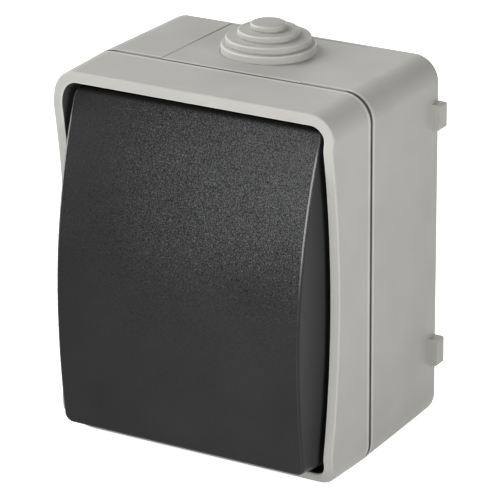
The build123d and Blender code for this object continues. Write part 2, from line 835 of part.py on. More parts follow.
os.makedirs("parts", exist_ok=True)
for name, piece in all_pieces().items():
    export_step(piece, f"parts/{name}.step")
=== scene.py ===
# %% [markdown]
# A weatherproof bell push: a light grey box that is screwed to the wall, a light grey front with
# waved side rims, and a dark rocker that a visitor pushes at its lower half. A stepped rubber gland
# on top lets the cable in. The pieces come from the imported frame, where every size, place and joint
# is settled. Blender gives them their finish, and models the gland, the boot and the spring anew.

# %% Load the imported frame
import json
import math

import bmesh
import bpy
from mathutils import Matrix, Vector


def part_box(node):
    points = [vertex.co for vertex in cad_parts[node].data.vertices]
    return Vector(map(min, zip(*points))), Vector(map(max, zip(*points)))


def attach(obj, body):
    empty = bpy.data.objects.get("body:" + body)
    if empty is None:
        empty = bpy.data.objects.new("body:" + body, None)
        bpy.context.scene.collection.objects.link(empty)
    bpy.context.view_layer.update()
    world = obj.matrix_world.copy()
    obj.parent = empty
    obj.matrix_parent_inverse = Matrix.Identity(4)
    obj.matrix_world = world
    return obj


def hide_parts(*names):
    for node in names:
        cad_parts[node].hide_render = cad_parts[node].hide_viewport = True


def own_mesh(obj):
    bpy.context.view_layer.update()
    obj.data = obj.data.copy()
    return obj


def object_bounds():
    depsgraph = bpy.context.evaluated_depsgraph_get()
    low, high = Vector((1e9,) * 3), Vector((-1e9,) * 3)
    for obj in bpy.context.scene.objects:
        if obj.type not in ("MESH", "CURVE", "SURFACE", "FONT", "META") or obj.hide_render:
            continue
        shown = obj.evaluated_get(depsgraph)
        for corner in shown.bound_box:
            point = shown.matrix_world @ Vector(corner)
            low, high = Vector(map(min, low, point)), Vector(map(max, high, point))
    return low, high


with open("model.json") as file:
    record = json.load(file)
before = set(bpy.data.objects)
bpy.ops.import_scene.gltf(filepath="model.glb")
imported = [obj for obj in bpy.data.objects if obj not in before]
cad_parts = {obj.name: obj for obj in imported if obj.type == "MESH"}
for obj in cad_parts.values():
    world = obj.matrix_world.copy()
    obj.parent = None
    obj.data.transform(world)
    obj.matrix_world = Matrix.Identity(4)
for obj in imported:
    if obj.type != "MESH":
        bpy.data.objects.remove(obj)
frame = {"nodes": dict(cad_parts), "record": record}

mm = 0.001
cad_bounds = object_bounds()
nodes = frame["nodes"]
print("nodes", len(nodes), "box in mm", [round(v / mm, 1) for corner in cad_bounds for v in corner])

# %% [markdown]
# The camera stands where the photographer stood: a little to the right, a little above, and far
# away with a long lens, so that the box hardly tapers. An aim, two angles and a distance say this
# better than a raw position, because each can be changed by itself.

# %% Place the camera
camera_aim = Vector((1.1, -22.1, -0.6)) * mm
camera_azimuth = math.radians(30.41)
camera_elevation = math.radians(21.14)
camera_roll = math.radians(-0.43)
camera_distance = 712 * mm
camera_lens = 246.6
camera_shift = (-0.0071, -0.0020)


def towards(azimuth, elevation):
    """The direction from the object to something at an azimuth, right of the front, and an elevation."""
    level = math.cos(elevation)
    return Vector((math.sin(azimuth) * level, -math.cos(azimuth) * level, math.sin(elevation)))


def add_camera():
    """The camera of the photograph."""
    data = bpy.data.cameras.new("photo_camera")
    data.lens = camera_lens
    data.shift_x, data.shift_y = camera_shift
    data.clip_start = 10 * mm
    data.clip_end = 20
    camera = bpy.data.objects.new("photo_camera", data)
    bpy.context.scene.collection.objects.link(camera)
    back = towards(camera_azimuth, camera_elevation)
    right = Vector((0, 0, 1)).cross(back).normalized()
    turn = Matrix((right, back.cross(right), back)).transposed().to_4x4()
    place = Matrix.Translation(camera_aim + back * camera_distance)
    camera.matrix_world = place @ turn @ Matrix.Rotation(camera_roll, 4, "Z")
    bpy.context.scene.camera = camera
    return camera


camera = add_camera()
print("camera at", [round(v / mm) for v in camera.location], "mm, lens", camera_lens)

# %% [markdown]
# Soft studio light. Five square lamps stand round the object: a small one in front for the rocker's
# face, two large ones on the left for the left side and the top, a small near one on the right, and
# one behind. A square lamp has a size, and the larger it looks from the object, the softer its
# shadows are. Angles are in degrees, distance and size in metres, power in watts.

# %% Place the lamps
lamps = {
    "front_lamp": {"azimuth": 0, "elevation": 14, "distance": 0.25, "size": 0.06, "power": 0.24},
    "left_lamp": {"azimuth": -75, "elevation": 20, "distance": 1.0, "size": 0.45, "power": 4.0},
    "high_left_lamp": {"azimuth": -90, "elevation": 45, "distance": 1.0, "size": 0.45, "power": 5.6},
    "side_lamp": {"azimuth": 68, "elevation": 24, "distance": 0.32, "size": 0.12, "power": 0.43},
    "back_lamp": {"azimuth": 190, "elevation": 8, "distance": 1.0, "size": 0.45, "power": 3.0},
}


def add_softbox(name, azimuth, elevation, distance, size, power):
    """A square lamp that points at the object from an azimuth and an elevation."""
    data = bpy.data.lights.new(name, "AREA")
    data.shape = "SQUARE"
    data.size = size
    data.energy = power
    lamp = bpy.data.objects.new(name, data)
    bpy.context.scene.collection.objects.link(lamp)
    back = towards(math.radians(azimuth), math.radians(elevation))
    lamp.location = camera_aim + back * distance
    lamp.rotation_euler = (-back).to_track_quat("-Z", "Y").to_euler()


for name, lamp in lamps.items():
    add_softbox(name, **lamp)
print("lamps", len(lamps), "with", round(sum(lamp["power"] for lamp in lamps.values()), 2), "watts")

# %% [markdown]
# The surround is white where the camera sees it, or a reflection or a clear piece shows it. It gives
# no light, so the lamps alone set the level, at which the greys render about as they are written.

# %% Surround the object with white


def seen_directly(tree):
    """A socket that is 1 for what the camera, a reflection or a clear piece shows, and else 0."""
    path = tree.nodes.new("ShaderNodeLightPath")
    seen = path.outputs["Is Camera Ray"]
    for kind in ("Is Glossy Ray", "Is Transmission Ray"):
        larger = tree.nodes.new("ShaderNodeMath")
        larger.operation = "MAXIMUM"
        tree.links.new(seen, larger.inputs[0])
        tree.links.new(path.outputs[kind], larger.inputs[1])
        seen = larger.outputs[0]
    return seen


world = bpy.data.worlds.new("studio")
bpy.context.scene.world = world
world.use_nodes = True
background = world.node_tree.nodes["Background"]
background.inputs["Color"].default_value = (1, 1, 1, 1)
world.node_tree.links.new(seen_directly(world.node_tree), background.inputs["Strength"])
bpy.context.scene.view_settings.view_transform = "Standard"
print("surround", world.name, "shown with", bpy.context.scene.view_settings.view_transform)

# %% [markdown]
# The object was photographed on white. A plain pale floor under it keeps its soft shadow, and a
# little glow of its own lifts the floor to white where nothing shades it.

# %% Lay the floor
floor_size = 6.0
floor_white = 0.9
floor_roughness = 0.9
floor_glow = 0.8


def lay_floor():
    """A pale floor under the object's lowest point."""
    bpy.ops.mesh.primitive_plane_add(size=floor_size, location=(0, 0, cad_bounds[0][2]))
    floor = bpy.context.object
    floor.name = "studio_floor"
    material = bpy.data.materials.new("pale_floor")
    material.use_nodes = True
    tree = material.node_tree
    shader = tree.nodes["Principled BSDF"]
    shader.inputs["Base Color"].default_value = (floor_white, floor_white, floor_white, 1)
    shader.inputs["Roughness"].default_value = floor_roughness
    shader.inputs["Emission Color"].default_value = (1, 1, 1, 1)
    glow = tree.nodes.new("ShaderNodeMath")
    glow.operation = "MULTIPLY"
    glow.inputs[1].default_value = floor_glow
    tree.links.new(seen_directly(tree), glow.inputs[0])
    tree.links.new(glow.outputs[0], shader.inputs["Emission Strength"])
    floor.data.materials.append(material)


lay_floor()
print("floor at", round(cad_bounds[0][2] / mm, 2), "mm")

# %% [markdown]
# The finishes follow a few places on the object. Most are read from the frame and not typed again:
# the parting gap is where the gasket lies, and the well's outline runs just outside the rocker. Only
# the rocker's gaps to the rim are typed, because no piece of the frame has their size.

# %% Read the places that finishes follow
box_high = Vector(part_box("base_box")[1])
rocker_high = Vector(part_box("rocker")[1])
gland_low, gland_high = (Vector(corner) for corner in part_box("cable_grommet"))
gasket_low, gasket_high = (Vector(corner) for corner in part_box("frame_gasket"))
parting = (gasket_low.y + gasket_high.y) / 2
rim_gap_side = 1.28 * mm
rim_gap_end = 0.73 * mm
rim_corner = 3.3 * mm
well_half = Vector((rocker_high.x + rim_gap_side, 0, rocker_high.z + rim_gap_end))
print("parting at", round(parting / mm, 2), "well", [round(v / mm, 2) for v in well_half])

# %% [markdown]
# Every finish starts from the same few node helpers. They read the point in the piece's own
# coordinates, so a grain has its real size in millimetres and stays on the piece when it moves.

# %% Start a finish


def start_finish(name, color, roughness, specular=0.5, metallic=0.0):
    """A new material with its shader set, and the tree that detail is added to."""
    material = bpy.data.materials.new(name)
    material.use_nodes = True
    tree = material.node_tree
    shader = tree.nodes["Principled BSDF"]
    shader.inputs["Base Color"].default_value = (*color, 1)
    shader.inputs["Roughness"].default_value = roughness
    shader.inputs["Specular IOR Level"].default_value = specular
    shader.inputs["Metallic"].default_value = metallic
    return material, tree, shader


def own_place(tree, output="Object"):
    """The point's place, or its normal, in the piece's own coordinates."""
    return tree.nodes.new("ShaderNodeTexCoord").outputs[output]


def own_parts(tree, output="Object"):
    """The three coordinates of the point's place, or of its normal."""
    split = tree.nodes.new("ShaderNodeSeparateXYZ")
    tree.links.new(own_place(tree, output), split.inputs[0])
    return split.outputs


print("one millimetre is", mm, "in a piece's own coordinates")

# %% [markdown]
# A finish works out shares between 0 and 1: how near the point is to an edge, how far it faces the
# visitor. Math nodes do that sum by sum, and short functions for them keep a finish readable. The
# smooth step between two values is used most, because no real edge of wear or dirt is sharp.

# %% Calculate with nodes


def feed(tree, socket, value):
    """Give a socket another socket or a plain number."""
    if isinstance(value, bpy.types.NodeSocket):
        tree.links.new(value, socket)
    else:
        socket.default_value = value


def calculate(tree, operation, first, second=0.0):
    """A number worked out from two others."""
    node = tree.nodes.new("ShaderNodeMath")
    node.operation = operation
    feed(tree, node.inputs[0], first)
    feed(tree, node.inputs[1], second)
    return node.outputs[0]


def chain(tree, operation, first, *others):
    """A number worked out from several others, one after the other."""
    for other in others:
        first = calculate(tree, operation, first, other)
    return first


def vector_step(tree, operation, first, second=(0, 0, 0)):
    """A vector worked out from two others."""
    node = tree.nodes.new("ShaderNodeVectorMath")
    node.operation = operation
    feed(tree, node.inputs[0], first)
    feed(tree, node.inputs[1], second)
    return node


def smooth_share(tree, value, start, end, first=0.0, last=1.0):
    """Turns smoothly from a first to a last value while another value runs from start to end."""
    node = tree.nodes.new("ShaderNodeMapRange")
    node.interpolation_type = "SMOOTHSTEP"
    feed(tree, node.inputs["Value"], value)
    node.inputs["From Min"].default_value = start
    node.inputs["From Max"].default_value = end
    node.inputs["To Min"].default_value = first
    node.inputs["To Max"].default_value = last
    return node.outputs["Result"]


print("helpers for numbers ready")

# %% [markdown]
# Noise gives the grain and the cloudiness, a ramp turns a share into shades of the piece's one
# colour, and bump turns a height into relief. Every shade is a factor of that colour, so a change of
# the colour carries all its shades along. Noise runs from 0 to 1 but is seldom near its ends, so
# what follows it smoothly does so over its middle range.

# %% Noise, shades and relief
noise_range = (0.3, 0.7)


def noise(tree, size, detail=2.0, stretch=(1, 1, 1)):
    """Noise whose features have a size in metres, drawn out along the axes by a stretch."""
    scale = [1 / (size * pull) for pull in stretch]
    node = tree.nodes.new("ShaderNodeTexNoise")
    node.inputs["Scale"].default_value = 1.0
    node.inputs["Detail"].default_value = detail
    scaled = vector_step(tree, "MULTIPLY", own_place(tree), scale)
    tree.links.new(scaled.outputs[0], node.inputs["Vector"])
    return node.outputs["Fac"]


def shade_of(color, factor):
    """The same colour, lighter or darker."""
    return tuple(min(channel * factor, 1.0) for channel in color)


def shade(tree, shader, share, color, *stops):
    """The base colour from a ramp: each stop is a position and a factor of the colour."""
    node = tree.nodes.new("ShaderNodeValToRGB")
    ramp = node.color_ramp
    for position, _ in stops[2:]:
        ramp.elements.new(position)
    for element, (position, factor) in zip(ramp.elements, stops):
        element.position = position
        element.color = (*shade_of(color, factor), 1)
    feed(tree, node.inputs["Fac"], share)
    tree.links.new(node.outputs["Color"], shader.inputs["Base Color"])
    return node.outputs["Color"]


def tint(tree, shader, share, color, other):
    """Turn the base colour from a socket's colour to another colour where a share is 1."""
    node = tree.nodes.new("ShaderNodeMix")
    node.data_type = "RGBA"
    tree.links.new(share, node.inputs["Factor"])
    tree.links.new(color, node.inputs[6])
    node.inputs[7].default_value = (*other, 1)
    tree.links.new(node.outputs[2], shader.inputs["Base Color"])
    return node.outputs[2]


def relief(tree, shader, height, depth):
    """Raise the surface by a height from 0 to 1 times a depth in metres."""
    node = tree.nodes.new("ShaderNodeBump")
    node.inputs["Strength"].default_value = 1.0
    node.inputs["Distance"].default_value = depth
    feed(tree, node.inputs["Height"], height)
    tree.links.new(node.outputs["Normal"], shader.inputs["Normal"])


print("a colour of 0.5, at a factor of 1.2, is", shade_of((0.5,), 1.2)[0])

# %% [markdown]
# Box and front are moulded from the same light warm grey plastic, and the box is a shade darker. Up close
# it has a fine satin skin and a slight cloudiness from the flow of the melt. Four kinds of place carry
# painted light and shade, and each is a share of its own, worked out from where the point lies and where
# it faces: the parting gap, the well, the flat strip on top, and the side lugs.

# %% Places on the housing
lip_facing = (-0.15, -0.4)
strip_facing = (0.1, 0.3)
strip_edge = (19 * mm, 17 * mm)
strip_depth = (1.6 * mm, 1.0 * mm)
lug_side = (32 * mm, 32.6 * mm)
lug_rear = (3 * mm, 5 * mm)
lug_facing = (0.2, 0.9)


def distance_to_gap(tree):
    """How far a point lies from the middle of the parting gap, from front to rear."""
    return calculate(tree, "ABSOLUTE", calculate(tree, "SUBTRACT", own_parts(tree)[1], parting))


def share_facing_front(tree):
    """1 on faces that look towards the visitor, 0 on the outer walls."""
    return smooth_share(tree, own_parts(tree, "Normal")[1], *lip_facing)


def distance_to_well(tree):
    """How far a point lies outside the rim's inner outline, seen from the front."""
    place = vector_step(tree, "ABSOLUTE", own_place(tree)).outputs[0]
    flat = vector_step(tree, "MULTIPLY", place, (1, 0, 1)).outputs[0]
    core = (well_half.x - rim_corner, 0, well_half.z - rim_corner)
    beyond = vector_step(tree, "SUBTRACT", flat, core).outputs[0]
    outside = vector_step(tree, "MAXIMUM", beyond, (0, 0, 0)).outputs[0]
    length = vector_step(tree, "LENGTH", outside).outputs["Value"]
    return calculate(tree, "SUBTRACT", length, rim_corner)


def share_at_strip(tree):
    """1 on the tiny step walls beside the flat strip on the box's top."""
    across, _, height = own_parts(tree)
    sideways = calculate(tree, "ABSOLUTE", own_parts(tree, "Normal")[0])
    high = smooth_share(tree, height, *(box_high.z - depth for depth in strip_depth))
    near = smooth_share(tree, calculate(tree, "ABSOLUTE", across), *strip_edge)
    return chain(tree, "MULTIPLY", smooth_share(tree, sideways, *strip_facing), near, high)


def share_at_lugs(tree):
    """1 on the front faces of the side lugs at the box's rear."""
    beside = smooth_share(tree, calculate(tree, "ABSOLUTE", own_parts(tree)[0]), *lug_side)
    behind = smooth_share(tree, distance_to_gap(tree), *lug_rear)
    facing = smooth_share(tree, share_facing_front(tree), *lug_facing)
    return chain(tree, "MULTIPLY", beside, behind, facing)


print("strip up to", strip_edge[0] / mm, "mm, lugs from", lug_side[0] / mm, "mm beside the middle")

# %% [markdown]
# The gap's lips carry painted shade with a painted highlight beside them, the rim's thin inner edge
# carries a painted highlight, and the walls of the well carry painted shade, nearly black. The strip's
# step walls and the lugs' front faces are painted paler: painted light against the shade that falls on
# them. One function makes both finishes, because a second copy would drift away from the first.

# %% Finish of the grey housing
housing_grey = (0.49, 0.483, 0.458)
box_shade = 0.94
satin_grain = 0.28 * mm
satin_depth = 0.004 * mm
satin_roughness = (0.54, 0.46)
cloud_size = 9 * mm
# Painted shade in the parting gap, on the well's walls and on the box's lip; painted highlights beside
# the gap and on the rim's inner edge; painted light on the strip's step walls and the lugs' front faces.
gap_painted_shade = (0.64 * mm, 0.4 * mm)
gap_painted_highlight = (1.6 * mm, 1.0 * mm)
rim_painted_highlight = (0.45 * mm, 0.1 * mm)
well_painted_shade = (0.45 * mm, 0.05 * mm)
box_lip_painted_shade = 0.7
box_painted_highlight = 1.3
strip_painted_light = 1.6
lug_painted_light = 0.8
plain_tone = 0.5
cloud_tone = 0.16
highlight_tone = 0.24
shade_tone = 0.8
housing_shades = ((0.0, 0.12), (0.52, 0.97), (0.64, 1.03), (0.86, 1.36))


def mark_front(tree, pale, dark):
    """Add a painted highlight on the rim's thin inner edge and painted shade on the walls of the well to
    the gap's painted shade and highlight.
    """
    distance = distance_to_well(tree)
    front = share_facing_front(tree)
    # Painted highlight on the rim's thin inner edge.
    rim = chain(tree, "MULTIPLY", smooth_share(tree, distance, *rim_painted_highlight), front)
    # Painted shade, nearly black, on the walls of the well.
    inward = calculate(tree, "SUBTRACT", 1.0, front)
    walls = chain(tree, "MULTIPLY", smooth_share(tree, distance, *well_painted_shade), inward)
    return calculate(tree, "MAXIMUM", pale, rim), calculate(tree, "MAXIMUM", dark, walls)


def mark_box(tree, pale, dark):
    """Paint shade on the box's front lip in the gap, a highlight beside the gap, and painted light on the
    step walls and lugs.
    """
    # Painted shade on the box's front lip in the gap.
    lip = chain(tree, "MULTIPLY", share_facing_front(tree), pale, box_lip_painted_shade)
    # Painted highlight on the box's wall beside the gap.
    wall = chain(tree, "MULTIPLY", pale, box_painted_highlight)
    # Painted light on the strip's step walls, against the shadow that falls there.
    strip = chain(tree, "MULTIPLY", share_at_strip(tree), strip_painted_light)
    # Painted light on the lugs' front faces.
    lugs = chain(tree, "MULTIPLY", share_at_lugs(tree), lug_painted_light)
    return chain(tree, "MAXIMUM", wall, strip, lugs), calculate(tree, "MAXIMUM", dark, lip)


def make_housing_finish(name, color, mark):
    """Satin grey plastic, cloudy in the large, grained in the small, with painted shade and highlights.
    """
    material, tree, shader = start_finish(name, color, 0.5, 0.4)
    cloud = noise(tree, cloud_size, 3.0)
    gap = distance_to_gap(tree)
    # Painted shade in the parting gap, and a painted highlight on its lips.
    line = smooth_share(tree, gap, *gap_painted_shade)
    pale, dark = mark(tree, smooth_share(tree, gap, *gap_painted_highlight), line)
    lighter = calculate(tree, "MULTIPLY", pale, highlight_tone)
    darker = calculate(tree, "MULTIPLY", dark, shade_tone)
    tone = chain(tree, "ADD", calculate(tree, "MULTIPLY", cloud, cloud_tone), lighter, plain_tone)
    shade(tree, shader, calculate(tree, "SUBTRACT", tone, darker), color, *housing_shades)
    roughness = smooth_share(tree, cloud, *noise_range, *satin_roughness)
    tree.links.new(roughness, shader.inputs["Roughness"])
    relief(tree, shader, noise(tree, satin_grain, 3.0), satin_depth)
    return material


front_grey = make_housing_finish("front_grey", housing_grey, mark_front)
box_grey = make_housing_finish("box_grey", shade_of(housing_grey, box_shade), mark_box)
print("housing finishes", front_grey.name, box_grey.name)

# %% [markdown]
# The rocker is anthracite plastic with an eroded grain, pressed off a spark-worn mould: rounded
# grains a fifth of a millimetre wide. The grain is strong on the upper front. Fingers have rubbed
# it nearly smooth on the lower half, where everyone pushes, it is weaker towards the left edge, and
# the sides have only a fine satin. So the grain's strength is worked out first, from the place on
# the rocker and the way that the point faces.

# %% Grain of the rocker
anthracite = (0.0362, 0.0365, 0.0374)
grain_size = 0.22 * mm
grain_depth = 0.2 * mm
fine_grain_size = 0.2 * mm
fine_grain_part = 0.2
rubbed_half = (-14 * mm, 16 * mm, 0.12, 1.0)
front_skin = (-0.35, -0.75, 0.1, 1.0)
worn_left = (-25 * mm, -4 * mm, 0.35, 1.0)


def rocker_grain(tree, shader, place, facing):
    """Press the grain into the rocker, and return its strength and its height."""
    kept = smooth_share(tree, place[2], *rubbed_half)
    skin = smooth_share(tree, facing[1], *front_skin)
    left = smooth_share(tree, place[0], *worn_left)
    strength = chain(tree, "MULTIPLY", kept, skin, left)
    coarse = calculate(tree, "MULTIPLY", noise(tree, grain_size, 1.0), 1 - fine_grain_part)
    fine = calculate(tree, "MULTIPLY", noise(tree, fine_grain_size, 2.0), fine_grain_part)
    height = calculate(tree, "ADD", coarse, fine)
    relief(tree, shader, calculate(tree, "MULTIPLY", height, strength), grain_depth)
    return strength, height


print("rocker grain", grain_size / mm, "mm wide,", grain_depth / mm, "mm deep")

# %% [markdown]
# The tops of the grains catch more light than the pits, and the rocker is lighter towards its upper
# right. Soft lamps alone don't show enough of that, so the colour carries a painted highlight on the
# grain tops, a painted highlight that rises towards the upper right, and painted shade towards the left.

# %% Tone of the rocker
rocker_tone = 0.36
grain_highlight_tone = 2.0
rocker_cloud_size = 14 * mm
rocker_cloud_tone = 0.15
grain_tone = 0.03
highlight_rising_tone = (0, 26 * mm, -0.03, 0.06)
highlight_across_tone = (-22 * mm, 12 * mm, -0.05, 0.01)
highlight_patch_across = (-2 * mm, 26 * mm)
highlight_patch_height = (2 * mm, 24 * mm)
highlight_patch_tone = 0.12
rocker_shades = ((0.2, 0.3), (0.43, 0.85), (0.55, 1.1), (0.8, 3.2))


def rocker_shading(tree, place, strength, height, cloud):
    """The position on the rocker's ramp of shades, with its painted highlights and shade."""
    # Painted highlight on the grain tops, following the grain.
    grain = calculate(tree, "SUBTRACT", height, 0.5)
    grain_highlight = chain(tree, "MULTIPLY", strength, grain_highlight_tone, grain)
    # Painted highlight in a patch towards the upper right.
    upper = smooth_share(tree, place[2], *highlight_patch_height)
    highlight_patch = chain(tree, "MULTIPLY", smooth_share(tree, place[0], *highlight_patch_across), upper, highlight_patch_tone)
    clouds = calculate(tree, "MULTIPLY", cloud, rocker_cloud_tone)
    grained = calculate(tree, "MULTIPLY", strength, grain_tone)
    # Painted highlight rising towards the top, and painted shade towards the left.
    rising_highlight = smooth_share(tree, place[2], *highlight_rising_tone)
    across = smooth_share(tree, place[0], *highlight_across_tone)
    return chain(tree, "ADD", grain_highlight, rocker_tone, clouds, grained, rising_highlight, across, highlight_patch)


print("rocker shades from", rocker_shades[0][1], "to", rocker_shades[-1][1], "times its colour")

# %% [markdown]
# The long edges between face and sides carry a painted highlight in the upper half, and the top end lies
# in a painted shadow of the rim, a dark band. Both are laid over the face by where the point faces and
# how high it lies. Like the painted shade on the well's walls, the band is painted shadow. The plastic
# mirrors little: a stronger mirror would show the white surround everywhere and wash the dark face out.

# %% Finish of the rocker
side_painted_sheen = 1.45
side_facing = (0.75, 0.95)
edge_from = (0.22, 0.4)
edge_to = (0.75, 0.55)
edge_front = (-0.1, -0.3)
edge_low = (2 * mm, 18 * mm, 0.04, 1.0)
edge_high = (30 * mm, 34 * mm, 1.0, 0.4)
edge_painted_highlight = (0.36, 0.36, 0.36)
rim_shadow_dark = (0.003, 0.003, 0.003)
rim_shadow_depth = (1.8 * mm, 0.8 * mm)
rocker_mirror = 0.05
rocker_roughness = (-0.35, -0.75, 0.3, 0.4)
cloud_roughness = 0.05


def share_at_edge(tree, place, facing, sideways):
    """1 on the long rounded edges of the rocker, less low down and at the very top."""
    across = smooth_share(tree, sideways, *edge_from)
    inside = smooth_share(tree, sideways, *edge_to)
    front = smooth_share(tree, facing[1], *edge_front)
    low = smooth_share(tree, place[2], *edge_low)
    high = smooth_share(tree, place[2], *edge_high)
    return chain(tree, "MULTIPLY", across, inside, front, low, high)


def make_rocker_finish():
    """Anthracite plastic, grained and rubbed, with a painted sheen on its sides, painted highlights on
    its edges, and a painted shadow at its top end.
    """
    material, tree, shader = start_finish("rocker_anthracite", anthracite, 0.4, rocker_mirror)
    place = own_parts(tree)
    facing = own_parts(tree, "Normal")
    sideways = calculate(tree, "ABSOLUTE", facing[0])
    cloud = noise(tree, rocker_cloud_size, 3.0)
    strength, height = rocker_grain(tree, shader, place, facing)
    tone = rocker_shading(tree, place, strength, height, cloud)
    color = shade(tree, shader, tone, anthracite, *rocker_shades)
    # Painted sheen on the sides, lighter than the face.
    side = smooth_share(tree, sideways, *side_facing)
    color = tint(tree, shader, side, color, shade_of(anthracite, side_painted_sheen))
    # Painted highlight on the long edges.
    color = tint(tree, shader, share_at_edge(tree, place, facing, sideways), color, edge_painted_highlight)
    # Painted shadow of the top rim across the rocker's top end.
    rim_shadow = smooth_share(tree, place[2], *(rocker_high.z - depth for depth in rim_shadow_depth))
    tint(tree, shader, rim_shadow, color, rim_shadow_dark)
    gloss = smooth_share(tree, facing[1], *rocker_roughness)
    patches = calculate(tree, "MULTIPLY", cloud, cloud_roughness)
    tree.links.new(calculate(tree, "ADD", gloss, patches), shader.inputs["Roughness"])
    return material


rocker_anthracite = make_rocker_finish()
print("rocker finish", rocker_anthracite.name, "rim_shadow", rim_shadow_depth[0] / mm, "mm deep")

# %% [markdown]
# Rubber is softer in look than the plastic: no sharp glints, a little powdery. The gland is the same grey
# as the box but drier, and carries a painted highlight on its rounded rims. The seals and the boot are
# black.

# %% Finish of the rubbers
gland_grey = (0.48, 0.475, 0.45)
seal_black = (0.012, 0.012, 0.012)
gland_rim_highlight = 1.3
rim_slope_from = (0.12, 0.4)
rim_slope_to = (0.95, 0.75)
patch_size = 2.2 * mm
rubber_grain = 0.25 * mm
rubber_depth = 0.006 * mm


def paint_rim_highlights(tree, shader, color_socket, color):
    """Paint a highlight on the rubber where its surface is between upright and level."""
    up = own_parts(tree, "Normal")[2]
    low = smooth_share(tree, up, *rim_slope_from)
    # Painted highlight on the rims, between upright and level.
    rim = chain(tree, "MULTIPLY", low, smooth_share(tree, up, *rim_slope_to))
    tint(tree, shader, rim, color_socket, shade_of(color, gland_rim_highlight))


def make_rubber(name, color, roughness, bloom, rim_highlights=False):
    """Matt rubber with a faint powdery bloom in patches."""
    material, tree, shader = start_finish(name, color, roughness, 0.3)
    patches = noise(tree, patch_size, 4.0)
    bloomed = shade(tree, shader, patches, color, (0.35, 1 - bloom), (0.65, 1 + bloom))
    if rim_highlights:
        paint_rim_highlights(tree, shader, bloomed, color)
    dry = smooth_share(tree, patches, *noise_range, roughness - 0.05, roughness + 0.08)
    tree.links.new(dry, shader.inputs["Roughness"])
    relief(tree, shader, noise(tree, rubber_grain, 3.0), rubber_depth)
    return material


gland_rubber = make_rubber("gland_rubber", gland_grey, 0.62, 0.03, rim_highlights=True)
seal_rubber = make_rubber("seal_rubber", seal_black, 0.66, 0.35)
print("rubbers", gland_rubber.name, seal_rubber.name)

# %% [markdown]
# The contact mechanism is off-white plastic, plain and a little glossy, with faint clouds from the
# flow of the melt. It hides behind the rocker, so a simple finish does.

# %% Finish of the mechanism's plastic
mechanism_white = (0.62, 0.61, 0.57)
mechanism_cloud_size = 5 * mm
mechanism_grain = 0.2 * mm
mechanism_depth = 0.004 * mm


def make_mechanism_finish():
    """Off-white moulded plastic with faint flow clouds."""
    material, tree, shader = start_finish("mechanism_plastic", mechanism_white, 0.42, 0.5)
    cloud = noise(tree, mechanism_cloud_size, 3.0)
    shade(tree, shader, cloud, mechanism_white, (0.3, 0.95), (0.7, 1.04))
    tree.links.new(smooth_share(tree, cloud, *noise_range, 0.38, 0.48), shader.inputs["Roughness"])
    relief(tree, shader, noise(tree, mechanism_grain, 2.0), mechanism_depth)
    return material


mechanism_plastic = make_mechanism_finish()
print("mechanism finish", mechanism_plastic.name)

# %% [markdown]
# The screws are zinc plated: a cool grey with a cloudy spangle and fine scratches from front to
# rear. Spring wire is darker, and its scratches lie in the plane that it winds in, roughly along the
# wire. Stamped brass has a warm tint that darkens in spots, and silver contacts are the brightest
# metal, with a grey tarnish. One function makes them all: clouds for the spots, and noise that is
# drawn out along an axis for the scratches.

# %% Finish of the metals
spot_size = 0.9 * mm
scratch_width = 0.06 * mm


def make_metal(name, color, roughness, spots, scratch, stretch=(1, 1, 1)):
    """A metal with cloudy spots, and with fine scratches that a stretch draws out along an axis."""
    material, tree, shader = start_finish(name, color, roughness, 0.5, 1.0)
    cloud = noise(tree, spot_size, 4.0)
    shade(tree, shader, cloud, color, (0.3, 1 - spots), (0.7, 1 + spots / 3))
    worn = smooth_share(tree, cloud, *noise_range, roughness + 0.12, roughness - 0.05)
    tree.links.new(worn, shader.inputs["Roughness"])
    relief(tree, shader, noise(tree, scratch_width, 2.0, stretch), scratch)
    return material


screw_steel = make_metal("screw_steel", (0.6, 0.61, 0.62), 0.32, 0.18, 0.003 * mm, (1, 8, 1))
spring_steel = make_metal("spring_steel", (0.42, 0.42, 0.43), 0.28, 0.12, 0.004 * mm, (8, 1, 8))
contact_brass = make_metal("contact_brass", (0.78, 0.58, 0.27), 0.3, 0.22, 0.003 * mm, (1, 1, 10))
contact_silver = make_metal("contact_silver", (0.82, 0.81, 0.78), 0.25, 0.2, 0.002 * mm)
print("metals", [metal.name for metal in (screw_steel, spring_steel, contact_brass, contact_silver)])

# %% [markdown]
# Each node from the frame gets the finish that its record slot names. Box and front share a slot but
# not a material, because only the front has the rim. The frame's meshes are loose triangles, so a
# weld joins them, a split at 30 degrees keeps the real edges sharp, and weighted normals keep the
# large walls flat beside their small roundings. All three leave the mesh itself as it is.

# %% Put the finishes on the frame's pieces
finishes = {
    "housing_grey": box_grey,
    "rocker_anthracite": rocker_anthracite,
    "gland_rubber": gland_rubber,
    "seal_rubber": seal_rubber,
    "screw_steel": screw_steel,
    "spring_steel": spring_steel,
    "mechanism_plastic": mechanism_plastic,
    "contact_brass": contact_brass,
    "contact_silver": contact_silver,
}
sharp_angle = math.radians(30)
weld_distance = 0.002 * mm


def smooth_node(node):
    """Weld, split and weigh the normals of a node from the frame."""
    for polygon in node.data.polygons:
        polygon.use_smooth = True
    weld = node.modifiers.new("weld", "WELD")
    weld.merge_threshold = weld_distance
    split = node.modifiers.new("split", "EDGE_SPLIT")
    split.split_angle = sharp_angle
    node.modifiers.new("normals", "WEIGHTED_NORMAL")


for row in frame["record"]["subparts"]:
    node = nodes[row["node"]]
    node.data.materials.clear()
    node.data.materials.append(finishes[row["material_slot"]])
    smooth_node(node)
nodes["front_frame"].data.materials[0] = front_grey

